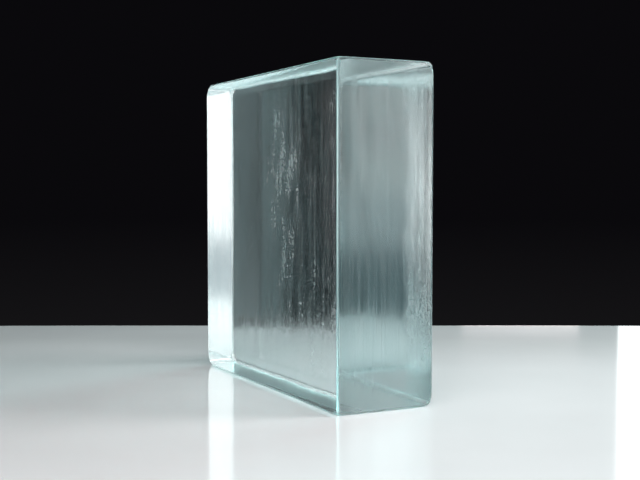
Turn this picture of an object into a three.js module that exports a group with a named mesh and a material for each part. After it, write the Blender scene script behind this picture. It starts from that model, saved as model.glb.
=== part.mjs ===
// Solid glass block, one casting of clear glass, stood up on one of its narrow faces.
//
// Millimetres, +Z up. The origin is the centre of the face that the block stands on.
// X runs along the width, the two big square faces look to -Y and +Y, and the four
// narrow faces (bottom, top and the two ends) are ground flat.
// Every edge is broken by a narrow soft bevel, the arris. It is twice as broad where the
// top and the bottom meet the left end (-X) and the back (+Y). It widens towards the
// eight tips too, where the corner is dubbed so that it can't chip: lightly at the
// right end (+X), more at the left end, which was ground first.
import * as THREE from 'three';
import { mergeVertices } from 'three/addons/utils/BufferGeometryUtils.js';

// Overall size
const WIDTH = 190;
const HEIGHT = 190;
const THICKNESS = 60;

// Arris along the edges
const ARRIS_LEG = 1.3; // how far the bevel reaches onto each of its two faces
const BROAD_ARRIS_LEG = 2.6; // the same on the four broad edges
const ARRIS_FULLNESS = 1.5; // 1 is a flat 45 degree bevel, 2 is a quarter round

// Dubbed tips
const LEFT_TIP_LEG = 3.4; // the bevel's reach at the tip itself, at the -X end
const RIGHT_TIP_LEG = 2.1; // the same at the +X end
const REACH_FADE = 3.2; // distance from a tip or broad edge over which the extra reach dies away

// Steps of the surface mesh, counted from an edge inwards
const ARRIS_STEPS = 5; // across the arris, from one face to its middle
const FADE_RUNS = [0.4, 0.9, 1.6, 2.8]; // lines along an edge, in units of REACH_FADE

const GLASS_COLOUR = 0xcfe6e4;
const GLASS_ROUGHNESS = 0.12;
const GLASS_METALNESS = 0.0;

// One grid line of the mesh, seen from the edge it lies nearest to.
// slope runs from 1 at the edge's middle to 0 where the flat face starts;
// run is the line's distance past that point.
function gridLine(coordinate, lines) {
  const fromEdge = Math.round(((1 - Math.abs(coordinate)) * lines) / 2);
  const onArris = fromEdge <= ARRIS_STEPS;
  return {
    side: Math.sign(coordinate),
    slope: onArris ? 1 - fromEdge / ARRIS_STEPS : 0,
    run: onArris ? 0 : FADE_RUNS[fromEdge - ARRIS_STEPS - 1] * REACH_FADE,
  };
}

// Reach of the arris at a distance from a place where it is `leg`.
function fadingReach(leg, distance) {
  return ARRIS_LEG + (leg - ARRIS_LEG) * Math.exp(-((distance / REACH_FADE) ** 2));
}

// Reach of the arris at a grid point: the largest of the plain one, the nearest tip's, and
// that of the broad edge at the left end or at the back.
function arrisLeg([x, y, z]) {
  const tip = fadingReach(x.side > 0 ? RIGHT_TIP_LEG : LEFT_TIP_LEG, Math.hypot(x.run, y.run, z.run));
  const leftEnd = x.side < 0 ? fadingReach(BROAD_ARRIS_LEG, Math.hypot(x.run, z.run)) : ARRIS_LEG;
  const back = y.side > 0 ? fadingReach(BROAD_ARRIS_LEG, Math.hypot(y.run, z.run)) : ARRIS_LEG;
  return Math.max(tip, leftEnd, back);
}

// The block's skin: a gridded cube, pushed out to the block's size. Across an arris the
// section is a quarter of the curve |a|^n + |b|^n = leg^n, n being the fullness, and a tip
// is an eighth of the same curve in three directions, so that edges and tips meet smoothly.
function softBlock(width, thickness, height) {
  const halves = [width / 2, thickness / 2, height / 2];
  const lines = 2 * (ARRIS_STEPS + FADE_RUNS.length) + 1;
  const geometry = new THREE.BoxGeometry(2, 2, 2, lines, lines, lines);
  const position = geometry.attributes.position;
  for (let i = 0; i < position.count; i += 1) {
    const axes = position.array.slice(3 * i, 3 * i + 3);
    const grid = Array.from(axes, (coordinate) => gridLine(coordinate, lines));
    const leg = arrisLeg(grid);
    const lean = grid.map((line) => Math.tan((line.slope * Math.PI) / 4));
    const length = lean.reduce((sum, part) => sum + part ** ARRIS_FULLNESS, 0) ** (1 / ARRIS_FULLNESS);
    const placed = grid.map((line, axis) => {
      const flatEnd = halves[axis] - leg - line.run;
      return line.side * (flatEnd + (leg * lean[axis]) / length);
    });
    position.setXYZ(i, ...placed);
  }
  geometry.deleteAttribute('normal');
  geometry.deleteAttribute('uv');
  const skin = mergeVertices(geometry);
  skin.computeVertexNormals();
  return skin;
}

const glass = new THREE.MeshStandardMaterial({
  color: GLASS_COLOUR,
  roughness: GLASS_ROUGHNESS,
  metalness: GLASS_METALNESS,
});

const glassBlock = new THREE.Mesh(softBlock(WIDTH, THICKNESS, HEIGHT), glass);
glassBlock.name = 'glass_block';
glassBlock.position.z = HEIGHT / 2;

const block = new THREE.Group();
block.add(glassBlock);

export default block;
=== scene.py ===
"""Solid glass block: one casting of aqua glass, standing on one of its narrow faces."""
import math

import bpy
import numpy as np
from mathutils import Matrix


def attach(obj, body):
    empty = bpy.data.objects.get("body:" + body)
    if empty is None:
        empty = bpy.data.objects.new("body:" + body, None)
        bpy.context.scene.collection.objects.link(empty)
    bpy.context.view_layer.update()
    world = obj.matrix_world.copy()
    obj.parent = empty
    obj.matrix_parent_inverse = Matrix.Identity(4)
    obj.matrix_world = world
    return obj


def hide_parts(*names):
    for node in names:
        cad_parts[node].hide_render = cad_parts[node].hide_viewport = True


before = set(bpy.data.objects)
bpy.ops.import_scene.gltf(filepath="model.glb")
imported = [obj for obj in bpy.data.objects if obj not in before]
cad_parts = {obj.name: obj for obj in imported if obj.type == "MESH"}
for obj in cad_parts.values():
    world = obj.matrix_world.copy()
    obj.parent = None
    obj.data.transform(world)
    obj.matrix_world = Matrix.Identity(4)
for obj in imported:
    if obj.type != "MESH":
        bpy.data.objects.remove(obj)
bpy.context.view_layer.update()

MM = 0.001

# The block, in millimetres, as it was cast and ground
WIDTH = 190.0
THICKNESS = 60.0
HEIGHT = 190.0
ARRIS_LEG = 1.3
ARRIS_FULLNESS = 1.5
BROAD_ARRIS_LEG = 2.6
LEFT_TIP_LEG = 3.4
RIGHT_TIP_LEG = 2.1
REACH_FADE = 3.2


# ---------------------------------------------------------------- camera

# Where the camera stands, in metres, and where it looks, in degrees
CAMERA_PLACE = (0.59254, -0.29445, 0.12174)
CAMERA_HEADING = 62.945
CAMERA_DIP = 2.853
LENS = 60.34


def place_camera():
    """A long lens, level with the block's upper half, that looks slightly down."""
    lens = bpy.data.cameras.new("camera")
    lens.sensor_width = 36.0
    lens.lens = LENS
    lens.clip_start = 0.02
    camera = bpy.data.objects.new("camera", lens)
    camera.location = CAMERA_PLACE
    camera.rotation_euler = (math.radians(90.0 - CAMERA_DIP), 0.0, math.radians(CAMERA_HEADING))
    bpy.context.scene.collection.objects.link(camera)
    bpy.context.scene.camera = camera


# ---------------------------------------------------------------- mesh helpers

def mesh_from_grids(name, grids, marks=()):
    """Join patches, each an array rows x columns x 3 in millimetres, into one mesh.

    Points of two patches that share a place become one vertex, so that patches which
    meet along a line close up. Each mark is a name and one array of numbers per patch,
    kept as an attribute of the vertices."""
    quads, start = [], 0
    for grid in grids:
        rows, columns = grid.shape[:2]
        index = start + np.arange(rows * columns).reshape(rows, columns)
        quads.append(np.stack([index[:-1, :-1], index[:-1, 1:], index[1:, 1:], index[1:, :-1]],
                              axis=-1).reshape(-1, 4))
        start += rows * columns
    points = np.concatenate([grid.reshape(-1, 3) for grid in grids])
    key = np.round(points * 1e4).astype(np.int64)
    _, first, place = np.unique(key, axis=0, return_index=True, return_inverse=True)
    faces = place.reshape(-1)[np.concatenate(quads)]
    mesh = bpy.data.meshes.new(name)
    mesh.vertices.add(len(first))
    mesh.vertices.foreach_set("co", (points[first] * MM).ravel())
    mesh.loops.add(faces.size)
    mesh.loops.foreach_set("vertex_index", faces.ravel())
    mesh.polygons.add(len(faces))
    mesh.polygons.foreach_set("loop_start", np.arange(0, faces.size, 4))
    mesh.polygons.foreach_set("loop_total", np.full(len(faces), 4))
    mesh.polygons.foreach_set("use_smooth", np.ones(len(faces), dtype=bool))
    mesh.update(calc_edges=True)
    mesh.validate()
    for mark, arrays in marks:
        attribute = mesh.attributes.new(mark, "FLOAT", "POINT")
        values = np.concatenate([array.reshape(-1) for array in arrays])
        attribute.data.foreach_set("value", values[first])
    return mesh


def waves(across, along, across_size, along_size, count, seed):
    """Sum of `count` plane waves with wave lengths around the two sizes, scaled to about -1..1.

    Each wave is cos(2 pi (a u / across_size + b v / along_size) + phase), with a and b drawn
    on a ring of radius 0.6 to 1.4, so that the sum has no direction of its own."""
    draw = np.random.default_rng(seed)
    total = np.zeros_like(across)
    for angle, radius, phase in zip(draw.uniform(0, 2 * math.pi, count),
                                    draw.uniform(0.6, 1.4, count),
                                    draw.uniform(0, 2 * math.pi, count)):
        a, b = radius * math.cos(angle), radius * math.sin(angle)
        total += np.cos(2 * math.pi * (a * across / across_size + b * along / along_size) + phase)
    return total / math.sqrt(2.0 * count)


# ---------------------------------------------------------------- the block

# Depths of the finest relief, in metres
DIMPLE_DEPTH = 0.00007
PEBBLE_DEPTH = 0.00004
GRAIN_DEPTH = 0.000012
RIDGE_DEPTH = 0.00001
STREAK_DEPTH = 0.000028
FINE_FURROW = 0.000008
BROAD_FURROW = 0.00002

# Heights of the skin's broader waves, in millimetres
HAMMER_WAVE = 0.014
STREAK_WAVE = 0.006
FACE_SWELL = 0.04
END_WAVE = 0.005
BED_WAVE = 0.002
NARROW_SWELL = 0.02

# How rough each face was left, 0 to 1: left and right end, front and back, bottom and top
FACE_GRIND = ((0.075, 0.12), (0.0, 0.0), (0.30, 1.0))
SMOOTHER_TOP = 0.71
SMOOTHER_BOTTOM = 0.20
ARRIS_GRIND = 0.5
BROAD_ARRIS_GRIND = 0.95
BROAD_ARRIS_REACH = 4.0
SAWN_DULLNESS = 0.85
POLISH = 0.05

# Grid lines across an arris, and the first ones past it, in millimetres
ARRIS_STEPS = 5
FADE_RUNS = np.array([0.6, 1.3, 2.2, 3.4, 5.0])
RELIEF_FADE = 8.0
FACE_SPACING = 1.35
THICKNESS_SPACING = 0.85


def axis_lines(half, spacing, leg=ARRIS_LEG):
    """Grid lines of one axis, as (side, slope, run) arrays from one end to the other.

    slope goes from 1 in the middle of the arris to 0 where the flat starts; run is the
    distance past that point, up to the face's middle line."""
    flat = half - leg
    steps = int(math.ceil((flat - FADE_RUNS[-1]) / spacing))
    runs = np.concatenate([np.zeros(ARRIS_STEPS + 1), FADE_RUNS,
                           np.linspace(FADE_RUNS[-1], flat, steps + 1)[1:]])
    slopes = np.concatenate([np.linspace(1, 0, ARRIS_STEPS + 1),
                             np.zeros(len(runs) - ARRIS_STEPS - 1)])
    side = np.concatenate([-np.ones(len(runs)), np.ones(len(runs) - 1)])
    return side, np.concatenate([slopes, slopes[-2::-1]]), np.concatenate([runs, runs[-2::-1]])


def blob(across, along, centre, size):
    """A round hill, exp(-(du^2 + dv^2)), du and dv counted in the two sizes from its centre."""
    return np.exp(-((across - centre[0]) / size[0]) ** 2 - ((along - centre[1]) / size[1]) ** 2)


def hammering(side, x, z):
    """How strongly a big face is hammered, 0 to 1.

    The one towards -Y is hammered from near its middle to the +X end, not along its top and
    bottom. The one towards +Y is smooth up to a ragged line near its +X end, apart from a
    low patch in front of it."""
    ragged = 6.0 * waves(x, z, 25.0, 25.0, 12, 7)
    if side < 0:
        towards_end = 1 / (1 + np.exp(-(x + ragged + 35) / 12))
        inner = 1 / (1 + np.exp((np.abs(z - HEIGHT / 2) - 80) / 2.5))
        low_patch = blob(x, z, (82.0, 40.0), (50.0, 38.0))
        return np.clip((0.15 + 0.19 * towards_end + 0.20 * low_patch) * inner, 0, 1)
    past_line = 1 / (1 + np.exp(-(x + ragged - 47) / 2.5))
    return np.clip(0.45 * past_line + 0.35 * blob(x, z, (62.0, 52.0), (40.0, 24.0)), 0, 1)


def scuffing(x, z):
    """How scuffed a big face is, 0 to 1: tall wandering patches right of its middle, and a
    thin scatter of marks over the rest of the middle."""
    patch = 0.8 * blob(x, z, (22.0, 148.0), (12.0, 26.0)) + 0.6 * blob(x, z, (42.0, 134.0), (7.0, 14.0))
    patch += 0.5 * blob(x, z, (30.0, 98.0), (11.0, 32.0)) + 0.42 * blob(x, z, (20.0, 100.0), (52.0, 75.0))
    return np.clip(patch * (0.75 + 0.55 * waves(x, z, 9.0, 34.0, 18, 8)), 0, 1)


def smoother_half(x, y):
    """Where the top is less dull, 0 to 1: past a soft line from its near right tip to its
    far left one."""
    past_line = y + THICKNESS / 2 - (WIDTH / 2 - x) * THICKNESS / WIDTH
    return 1 / (1 + np.exp(-past_line / 4.0))


def smoother_strip(x, y):
    """Where the bottom is less dull, 0 to 1: a strip along its near edge, 3 mm wide at the
    far end and 16 mm at the near one, with a soft border."""
    past_line = y + THICKNESS / 2 - 3.0 - 0.07 * (x + WIDTH / 2)
    return 1 / (1 + np.exp(past_line / 1.5))


def relief(axis, side, across, along, seed):
    """Depth in millimetres, 0 or more, of the skin's waves on one face.

    The two big faces (axis 1) are hammered: short round waves over long upright ones.
    The four narrow faces are ground lengthwise: waves across the thickness only.
    The sum is lifted and cut off at 0, so that the skin only sinks."""
    if axis == 1:
        hammer = waves(across, along, 6.0, 6.0, 40, seed)
        streak = waves(across, along, 9.0, 90.0, 24, seed + 1)
        swell = waves(across, along, 45.0, 60.0, 12, seed + 2)
        depth = HAMMER_WAVE * hammering(side, across, along) * hammer + STREAK_WAVE * streak
        depth += FACE_SWELL * swell
        return np.clip(depth + 0.06, 0, 0.4)
    furrow = waves(across, along, 3.2, 150.0, 30, seed + 3)
    swell = waves(across, along, 30.0, 90.0, 10, seed + 4)
    height = END_WAVE if axis == 0 else BED_WAVE
    return np.clip(height * furrow + NARROW_SWELL * swell + 0.04, 0, 0.3)


def soft_patch(axis, side, lines, halves, arris):
    """One of the six patches of a box with soft arrises and dubbed tips.

    arris is its leg on an edge, on the broad edges (top and bottom of the sides towards -X
    and +Y), at a tip on the -X side, at a tip on the +X side, the fade and the fullness n.
    Near a tip or a broad edge the leg grows by a bump exp(-(distance / fade)^2).
    Along each axis a point lies at side (half - leg - run + leg lean / |lean| + give),
    |lean| = (sum lean^n)^(1/n), lean = tan(slope pi / 4), and 1 along the patch's own axis.
    give = (leg - edge leg) (run / longest run)^2 lets the two sides meet at the middle line.
    Returns the points, the two leans, and the distance in from the arris."""
    leg_edge, leg_broad, leg_left, leg_right, fade, fullness = arris
    u, v = [other for other in range(3) if other != axis]
    su, pu, ru = (a[:, None] for a in lines[u])
    sv, pv, rv = (a[None, :] for a in lines[v])
    shape = (len(lines[u][0]), len(lines[v][0]))
    ru, rv = np.broadcast_to(ru, shape), np.broadcast_to(rv, shape)
    sides, runs = {axis: side, u: su, v: sv}, {axis: 0.0, u: ru, v: rv}
    leg_tip = np.where(sides[0] > 0, leg_right, leg_left)
    leg = leg_edge + (leg_tip - leg_edge) * np.exp(-(np.hypot(ru, rv) / fade) ** 2)
    for across, broad in ((0, sides[0] < 0), (1, sides[1] > 0)):
        near = np.exp(-(np.hypot(runs[across], runs[2]) / fade) ** 2) * broad
        leg = np.maximum(leg, leg_edge + (leg_broad - leg_edge) * near)
    lean_u = np.broadcast_to(np.tan(pu * math.pi / 4), shape)
    lean_v = np.broadcast_to(np.tan(pv * math.pi / 4), shape)
    length = (1 + lean_u ** fullness + lean_v ** fullness) ** (1 / fullness)
    grid = np.zeros(shape + (3,))
    grid[..., axis] = side * (halves[axis] - leg + leg / length)
    give_u = (leg - leg_edge) * (ru / (halves[u] - leg_edge)) ** 2
    give_v = (leg - leg_edge) * (rv / (halves[v] - leg_edge)) ** 2
    grid[..., u] = su * (halves[u] - leg - ru + leg * lean_u / length + give_u)
    grid[..., v] = sv * (halves[v] - leg - rv + leg * lean_v / length + give_v)
    return grid, lean_u, lean_v, np.minimum(ru, rv)


def outwards(axis, side, array):
    """Turn a patch over where its faces would look inwards."""
    return array[::-1] if (side > 0) != (axis == 1) else array


def block_patch(axis, side, lines, halves):
    """One face of the block: a soft patch that the relief sinks, and its marks of wear."""
    arris = (ARRIS_LEG, BROAD_ARRIS_LEG, LEFT_TIP_LEG, RIGHT_TIP_LEG, REACH_FADE, ARRIS_FULLNESS)
    grid, lean_u, lean_v, inside = soft_patch(axis, side, lines, halves, arris)
    rise = np.clip(inside / RELIEF_FADE, 0, 1)
    rise = rise * rise * (3 - 2 * rise)
    grid[..., 2] += HEIGHT / 2
    x, y, z = grid[..., 0], grid[..., 1], grid[..., 2]
    across, along = ((y, z), (x, z), (y, x))[axis]
    depth = relief(axis, side, across, along, 100 * (axis + 1) + 10 * int(side > 0))
    flat_mark = FACE_GRIND[axis][int(side > 0)]
    if axis == 2 and side > 0:
        flat_mark = flat_mark - SMOOTHER_TOP * smoother_half(x, y)
    if axis == 2 and side < 0:
        flat_mark = flat_mark - SMOOTHER_BOTTOM * smoother_strip(x, y)
    on_arris = np.clip(1.6 * np.maximum(lean_u, lean_v), 0, 1)
    by_bed = np.abs(z - HEIGHT / 2) > HEIGHT / 2 - BROAD_ARRIS_REACH
    by_side = (x < BROAD_ARRIS_REACH - WIDTH / 2) | (y > THICKNESS / 2 - BROAD_ARRIS_REACH)
    arris_mark = np.where(by_bed & by_side, BROAD_ARRIS_GRIND, ARRIS_GRIND)
    ground = flat_mark + (arris_mark - flat_mark) * on_arris
    hammer = hammering(side, x, z) if axis == 1 else np.zeros_like(x)
    scuff = scuffing(x, z) if axis == 1 and side < 0 else np.zeros_like(x)
    grid[..., axis] -= side * depth * rise
    return [outwards(axis, side, array) for array in (grid, ground, hammer, scuff)]


def glass_block():
    """The whole skin: six patches that meet along the middle of the arrises and tips."""
    halves = (WIDTH / 2, THICKNESS / 2, HEIGHT / 2)
    spacings = (FACE_SPACING, THICKNESS_SPACING, FACE_SPACING)
    lines = [axis_lines(half, spacing) for half, spacing in zip(halves, spacings)]
    patches = [block_patch(axis, side, lines, halves) for axis in range(3) for side in (-1.0, 1.0)]
    grids, ground, hammer, scuff = zip(*patches)
    marks = (("ground", ground), ("hammer", hammer), ("scuff", scuff))
    mesh = mesh_from_grids("glass_body", grids, marks)
    block = bpy.data.objects.new("glass_body", mesh)
    bpy.context.scene.collection.objects.link(block)
    block.data.materials.append(aqua_glass())
    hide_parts("glass_block")
    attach(block, "root")
    return block


# ---------------------------------------------------------------- materials

GLASS_INDEX = 1.52
GLASS_TINT = (0.18, 0.775, 0.79, 1)
GLASS_DENSITY = 2.0


class Finish:
    """A material with one shader, and short ways to add the nodes that drive it."""

    def __init__(self, name):
        """A new material of that name, with a Principled shader and its Object coordinates."""
        self.material = bpy.data.materials.new(name)
        self.material.use_nodes = True
        self.nodes = self.material.node_tree.nodes
        self.links = self.material.node_tree.links
        self.nodes.clear()
        self.output = self.nodes.new("ShaderNodeOutputMaterial")
        self.shader = self.nodes.new("ShaderNodeBsdfPrincipled")
        self.links.new(self.shader.outputs["BSDF"], self.output.inputs["Surface"])
        self.place = self.nodes.new("ShaderNodeTexCoord").outputs["Object"]

    def mark(self, name):
        """The mark of wear of that name, kept in the mesh."""
        node = self.nodes.new("ShaderNodeAttribute")
        node.attribute_name = name
        return node.outputs["Fac"]

    def pattern(self, scale, size, detail, rough=0.5):
        """Noise of `size` grains to the metre, stretched along an axis by a small scale."""
        mapping = self.nodes.new("ShaderNodeMapping")
        mapping.inputs["Scale"].default_value = scale
        self.links.new(self.place, mapping.inputs["Vector"])
        noise = self.nodes.new("ShaderNodeTexNoise")
        noise.inputs["Scale"].default_value = size
        noise.inputs["Detail"].default_value = detail
        noise.inputs["Roughness"].default_value = rough
        self.links.new(mapping.outputs["Vector"], noise.inputs["Vector"])
        return noise.outputs["Fac"]

    def maths(self, operation, *values):
        """One sum of the Math node, on sockets and plain numbers."""
        node = self.nodes.new("ShaderNodeMath")
        node.operation = operation
        for socket, value in zip(node.inputs, values):
            if isinstance(value, (int, float)):
                socket.default_value = value
            else:
                self.links.new(value, socket)
        return node.outputs[0]

    def times(self, a, b):
        """The product of two values."""
        return self.maths("MULTIPLY", a, b)

    def plus(self, first, *others):
        """The sum of two or more values."""
        for other in others:
            first = self.maths("ADD", first, other)
        return first

    def mix(self, factor, a, b):
        """(1 - factor) a + factor b."""
        return self.plus(self.times(self.maths("SUBTRACT", 1.0, factor), a), self.times(factor, b))

    def remap(self, value, low, high, to_low, to_high):
        """The span low..high laid onto to_low..to_high, and held at its ends."""
        node = self.nodes.new("ShaderNodeMapRange")
        for name, number in zip(("From Min", "From Max", "To Min", "To Max"),
                                (low, high, to_low, to_high)):
            node.inputs[name].default_value = number
        self.links.new(value, node.inputs["Value"])
        return node.outputs["Result"]


def aqua_glass():
    """Clear aqua glass: hammered on the big faces, ground lengthwise on the narrow ones."""
    skin = Finish("aqua_glass")
    pattern, times, plus, mix, remap = skin.pattern, skin.times, skin.plus, skin.mix, skin.remap
    skin.shader.inputs["Base Color"].default_value = (1, 1, 1, 1)
    skin.shader.inputs["Transmission Weight"].default_value = 1.0
    skin.shader.inputs["IOR"].default_value = GLASS_INDEX
    body = skin.nodes.new("ShaderNodeVolumeAbsorption")
    body.inputs["Color"].default_value = GLASS_TINT
    body.inputs["Density"].default_value = GLASS_DENSITY
    skin.links.new(body.outputs["Volume"], skin.output.inputs["Volume"])

    ground, hammered, scuffed = skin.mark("ground"), skin.mark("hammer"), skin.mark("scuff")
    split = skin.nodes.new("ShaderNodeSeparateXYZ")
    skin.links.new(skin.place, split.inputs["Vector"])
    thickness = split.outputs["Y"]
    narrow = remap(ground, 0.05, 0.12, 0.0, 1.0)
    dull = remap(ground, 0.12, 1.0, 0.0, 1.0)
    sawn = remap(ground, 0.12, 0.28, 0.0, 1.0)

    # height in metres: dimples, ridges and streaks on the big faces
    dimples = plus(times(pattern((1.0, 1.0, 1.0), 210.0, 1.0), DIMPLE_DEPTH),
                   times(pattern((1.0, 1.0, 0.8), 420.0, 1.0), PEBBLE_DEPTH),
                   times(pattern((1.0, 1.0, 0.7), 800.0, 1.0), GRAIN_DEPTH))
    ridges = times(pattern((1.0, 1.0, 0.25), 420.0, 3.0), RIDGE_DEPTH)
    streaks = times(pattern((1.0, 1.0, 0.08), 620.0, 2.0), STREAK_DEPTH)
    streaked = times(remap(hammered, 0.0, 0.2, 0.0, 1.0), remap(thickness, -0.02, 0.02, 0.35, 0.55))
    cast = plus(times(dimples, hammered), times(ridges, scuffed), times(streaks, streaked))

    # and furrows along the narrow ones, shallower where they were sawn dull
    furrows = plus(times(pattern((0.008, 1.0, 0.008), 1500.0, 1.0), FINE_FURROW),
                   times(pattern((0.012, 1.0, 0.012), 620.0, 2.0), BROAD_FURROW))
    furrows = times(furrows, mix(sawn, 1.0, 0.12))
    bump = skin.nodes.new("ShaderNodeBump")
    bump.inputs["Strength"].default_value = 1.0
    bump.inputs["Distance"].default_value = 1.0
    skin.links.new(mix(narrow, cast, furrows), bump.inputs["Height"])
    skin.links.new(bump.outputs["Normal"], skin.shader.inputs["Normal"])

    # how dull the skin is: specks, wisps, wiped streaks and frost on the big faces
    clouds = remap(pattern((1.0, 1.0, 0.6), 100.0, 3.0), 0.36, 0.66, 0.18, 0.42)
    specks = remap(pattern((1.0, 1.0, 0.55), 1150.0, 2.0), 0.42, 0.70, 0.0, 1.0)
    wisps = remap(pattern((1.0, 1.0, 0.28), 700.0, 5.0, 0.62), 0.36, 0.68, 0.0, 1.0)
    speckled = times(times(specks, clouds), hammered)
    rubbed = times(plus(times(wisps, 0.15), 0.08), scuffed)
    wiped = remap(pattern((1.0, 1.0, 0.06), 260.0, 2.0), 0.45, 0.72, POLISH, POLISH + 0.10)
    frosted = times(remap(thickness, 0.0, 0.02, 0.0, 0.10), hammered)
    polished = plus(speckled, rubbed, wiped, frosted)

    # and scour lines along the narrow ones
    scoured = remap(pattern((0.010, 1.0, 0.010), 900.0, 2.0, 0.6), 0.42, 0.66, 0.09, 0.23)
    clear = mix(narrow, polished, mix(sawn, scoured, 0.14))
    skin.links.new(mix(dull, clear, SAWN_DULLNESS), skin.shader.inputs["Roughness"])
    return skin.material


def table_top():
    """White laminate with a soft gloss, and painted light and shade: lighter around the block, darker
    towards its far side and towards the camera.
    """
    laminate = Finish("white_laminate")
    laminate.shader.inputs["IOR"].default_value = 1.5
    noise = laminate.pattern((1.0, 1.0, 1.0), 9.0, 3.0)
    tone = laminate.nodes.new("ShaderNodeValToRGB")
    for stop, position, colour in zip(tone.color_ramp.elements, (0.35, 0.65),
                                      ((0.79, 0.80, 0.81, 1), (0.82, 0.83, 0.84, 1))):
        stop.position = position
        stop.color = colour
    laminate.links.new(noise, tone.inputs["Fac"])
    depth = laminate.nodes.new("ShaderNodeVectorMath")
    depth.operation = "DOT_PRODUCT"
    depth.inputs[1].default_value = AWAY
    laminate.links.new(laminate.place, depth.inputs[0])
    # painted light and shade by how far a place lies from the block's middle, in metres along the view:
    # lighter around the block, darker far off and towards the camera
    fade = laminate.remap(depth.outputs["Value"], 0.05, 0.20, 1.09, 0.84)
    near = laminate.remap(depth.outputs["Value"], -0.17, -0.03, 0.89, 1.0)
    shade = laminate.nodes.new("ShaderNodeVectorMath")
    shade.operation = "SCALE"
    laminate.links.new(tone.outputs["Color"], shade.inputs[0])
    # the laminate's tone times both factors: painted light around the block, painted shade beyond
    laminate.links.new(laminate.times(fade, near), shade.inputs["Scale"])
    laminate.links.new(shade.outputs["Vector"], laminate.shader.inputs["Base Color"])
    gloss = laminate.remap(noise, 0.0, 1.0, 0.07, 0.10)
    laminate.links.new(gloss, laminate.shader.inputs["Roughness"])
    return laminate.material


# ---------------------------------------------------------------- surroundings

AWAY = np.array([-0.89039, 0.45521, 0.0])     # level, from the camera over the table
ASIDE = np.array([0.45521, 0.89039, 0.0])     # level, to the camera's right
STAND = np.array([CAMERA_PLACE[0], CAMERA_PLACE[1], 0.0])

# The table, in millimetres: how far it reaches from the camera's place (away, back, left and
# right), how thick it is, its arrises and tips as soft_patch takes them, and how far its top
# lies below the block
TABLE_REACH = (942.0, -260.0, -310.0, 316.0)
TABLE_DEPTH = 30.0
TABLE_ARRIS = (5.0, 5.0, 8.0, 8.0, 8.0, 2.0)
TABLE_GAP = 0.25


def table():
    """A slab with soft edges, made as the block is, and square to the camera's view."""
    far, near, left, right = TABLE_REACH
    halves = ((far - near) / 2, (right - left) / 2, TABLE_DEPTH / 2)
    lines = [axis_lines(half, half / 3, TABLE_ARRIS[0]) for half in halves]
    middle = STAND / MM + (far + near) / 2 * AWAY + (left + right) / 2 * ASIDE
    grids = []
    for axis in range(3):
        for side in (-1.0, 1.0):
            grid = soft_patch(axis, side, lines, halves, TABLE_ARRIS)[0]
            spot = middle + grid[..., :1] * AWAY - grid[..., 1:2] * ASIDE
            spot[..., 2] = grid[..., 2] - halves[2] - TABLE_GAP
            grids.append(outwards(axis, side, spot))
    mesh = mesh_from_grids("table", grids)
    slab = bpy.data.objects.new("table", mesh)
    bpy.context.scene.collection.objects.link(slab)
    mesh.materials.append(table_top())
    return slab


def softbox(name, centre, target, width, height, radiance):
    """A flat lamp of even brightness; its watts are radiance x pi x area."""
    lamp = bpy.data.lights.new(name, "AREA")
    lamp.shape = "RECTANGLE"
    lamp.size, lamp.size_y = width, height
    lamp.energy = max(radiance) * math.pi * width * height
    lamp.color = [level / max(radiance) for level in radiance]
    holder = bpy.data.objects.new(name, lamp)
    centre = np.array(centre, dtype=float)
    towards = np.array(target, dtype=float) - centre
    towards /= np.linalg.norm(towards)
    pitch = math.acos(-towards[2])
    heading = math.atan2(-towards[0], towards[1]) if abs(towards[0]) + abs(towards[1]) > 1e-6 else 0.0
    holder.rotation_euler = (pitch, 0.0, heading)
    holder.location = centre
    holder.visible_camera = False
    bpy.context.scene.collection.objects.link(holder)
    return holder


def panel(name, bearings, distance, heights, radiance):
    """An upright softbox between two bearings, in degrees from +X towards +Y, facing the block."""
    middle = math.radians(sum(bearings) / 2)
    width = 2 * distance * math.tan(math.radians((bearings[1] - bearings[0]) / 2))
    level = sum(heights) / 2
    spot = (distance * math.cos(middle), distance * math.sin(middle), level)
    return softbox(name, spot, (0.0, 0.0, level), width, heights[1] - heights[0], radiance)


# The lit wall left of the view, in upright fields: bearings, brightness
WALL_DISTANCE = 6.0
WALL_HEIGHTS = (-1.3, 4.0)
WALL_FIELDS = (((197.5, 200.5), (0.50, 0.72, 0.76)),
               ((200.5, 203.0), (0.46, 0.66, 0.69)),
               ((203.0, 203.5), (0.46, 0.62, 0.64)),
               ((203.5, 203.9), (0.56, 0.74, 0.76)),
               ((203.9, 204.3), (0.44, 0.60, 0.62)),
               ((204.3, 205.0), (0.50, 0.66, 0.68)),
               ((205.0, 206.3), (0.08, 0.12, 0.12)))

# Beside it the tall softbox, stacked from the gap under it upwards: heights, brightness
LEFT_BEARINGS = (208.1, 234.0)
LEFT_FIELDS = (("left_gap", (-1.3, -0.273), (0.03, 0.060, 0.066)),
               ("left_softbox_1", (-0.273, 0.113), (0.13, 0.16, 0.17)),
               ("left_softbox_2", (0.113, 0.322), (0.235, 0.24, 0.24)),
               ("left_softbox_3", (0.322, 0.556), (0.19, 0.18, 0.185)),
               ("left_softbox_4", (0.556, 1.3), (0.23, 0.225, 0.225)),
               ("left_softbox_5", (1.3, 4.5), (0.53, 0.54, 0.55)))

# and the slats in front of it: bearings
SLAT_DISTANCE = 5.9
SLAT_HEIGHTS = (-0.273, 4.5)
SLAT_LIGHT = (0.20, 0.19, 0.19)
SLATS = ((208.1, 208.9), (209.6, 210.8), (212.0, 213.2))

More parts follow.
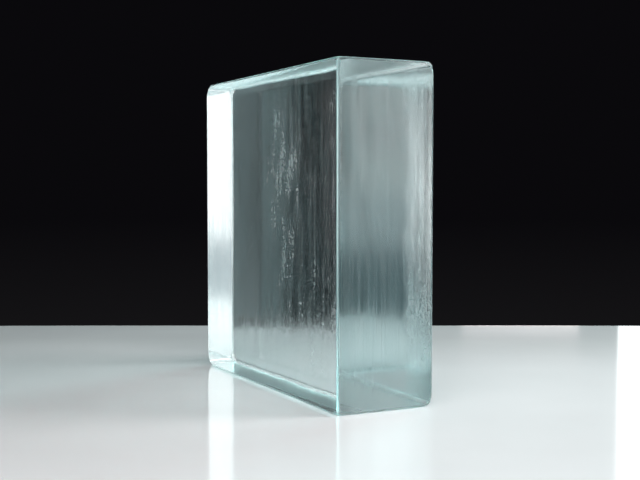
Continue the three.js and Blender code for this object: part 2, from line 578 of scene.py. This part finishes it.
# The right softbox, behind the camera, with its slats: bearings, heights, brightness
RIGHT_DISTANCE = 1.2
RIGHT_FIELDS = (("right_softbox", (0.0, 26.0), (0.022, 0.5), (1.9, 1.85, 1.85)),
                ("right_slat_1", (27.0, 27.9), (0.022, 0.5), (2.8, 2.8, 2.8)),
                ("right_slat_2", (29.0, 29.9), (0.022, 0.5), (2.8, 2.8, 2.8)),
                ("right_slat_3", (31.0, 31.9), (0.022, 0.5), (2.8, 2.8, 2.8)),
                ("right_slat_4", (33.5, 45.0), (0.022, 0.5), (1.9, 1.85, 1.85)),
                ("right_upper_softbox", (0.0, 45.0), (0.5, 1.3), (1.0, 1.0, 1.0)),
                ("right_gap", (0.0, 45.0), (-0.2, 0.022), (0.54, 0.57, 0.60)))

# Rim lamp, low fills and boxes behind the block: bearings, distance, heights, brightness
BACK_PANELS = (("rim_softbox", (100.0, 130.0), 1.4, (-0.05, 0.45), (1.5, 1.55, 1.55)),
               ("far_fill_1", (137.0, 144.5), 4.0, (-0.5, -0.15), (0.3, 0.3, 0.3)),
               ("far_fill_2", (137.0, 144.0), 4.0, (-0.15, 0.42), (3.8, 3.3, 3.3)),
               ("back_softbox_1", (80.0, 105.0), 1.3, (0.50, 1.30), (0.8, 1.0, 1.0)),
               ("back_softbox_2", (105.0, 130.0), 1.3, (0.50, 1.30), (4.2, 8.0, 8.0)))

SIDE_BEARING = 63.0
SIDE_DISTANCE = 1.2
OVERHEAD = (0.60, -0.32)


def lamps():
    """Softboxes to the left, to the right, behind, at the side and overhead."""
    for number, (bearings, radiance) in enumerate(WALL_FIELDS, 1):
        panel(f"wall_{number}", bearings, WALL_DISTANCE, WALL_HEIGHTS, radiance)
    for name, heights, radiance in LEFT_FIELDS:
        panel(name, LEFT_BEARINGS, WALL_DISTANCE, heights, radiance)
    for number, bearings in enumerate(SLATS, 1):
        panel(f"slat_{number}", bearings, SLAT_DISTANCE, SLAT_HEIGHTS, SLAT_LIGHT)
    for name, bearings, heights, radiance in RIGHT_FIELDS:
        panel(name, bearings, RIGHT_DISTANCE, heights, radiance)
    for row in BACK_PANELS:
        panel(*row)
    side = math.radians(SIDE_BEARING)
    softbox("side_softbox", (SIDE_DISTANCE * math.cos(side), SIDE_DISTANCE * math.sin(side), 0.9),
            (0, 0, 0.05), 0.6, 0.9, (10.2, 9.7, 9.7))
    softbox("overhead_softbox", (*OVERHEAD, 1.2), (*OVERHEAD, 0), 0.9, 0.9, (5.4, 5.4, 5.4))


def dark_room():
    """A nearly black room, a shade lighter below the horizon."""
    world = bpy.data.worlds.new("dark_room")
    bpy.context.scene.world = world
    world.use_nodes = True
    nodes, links = world.node_tree.nodes, world.node_tree.links
    place = nodes.new("ShaderNodeTexCoord")
    split = nodes.new("ShaderNodeSeparateXYZ")
    links.new(place.outputs["Generated"], split.inputs["Vector"])
    ramp = nodes.new("ShaderNodeValToRGB")
    for stop, position, colour in zip(ramp.color_ramp.elements, (0.86, 0.97),
                                      ((0.0075, 0.0072, 0.0080, 1), (0.0030, 0.0028, 0.0036, 1))):
        stop.position = position
        stop.color = colour
    lift = nodes.new("ShaderNodeMath")
    lift.operation = "ADD"
    lift.inputs[1].default_value = 1.0
    links.new(split.outputs["Z"], lift.inputs[0])
    links.new(lift.outputs[0], ramp.inputs["Fac"])
    links.new(ramp.outputs["Color"], nodes["Background"].inputs["Color"])


place_camera()
glass_block()
table()
dark_room()
lamps()

scene = bpy.context.scene
scene.view_settings.view_transform = "Standard"
scene.cycles.max_bounces = 24
scene.cycles.transmission_bounces = 24
scene.cycles.glossy_bounces = 16

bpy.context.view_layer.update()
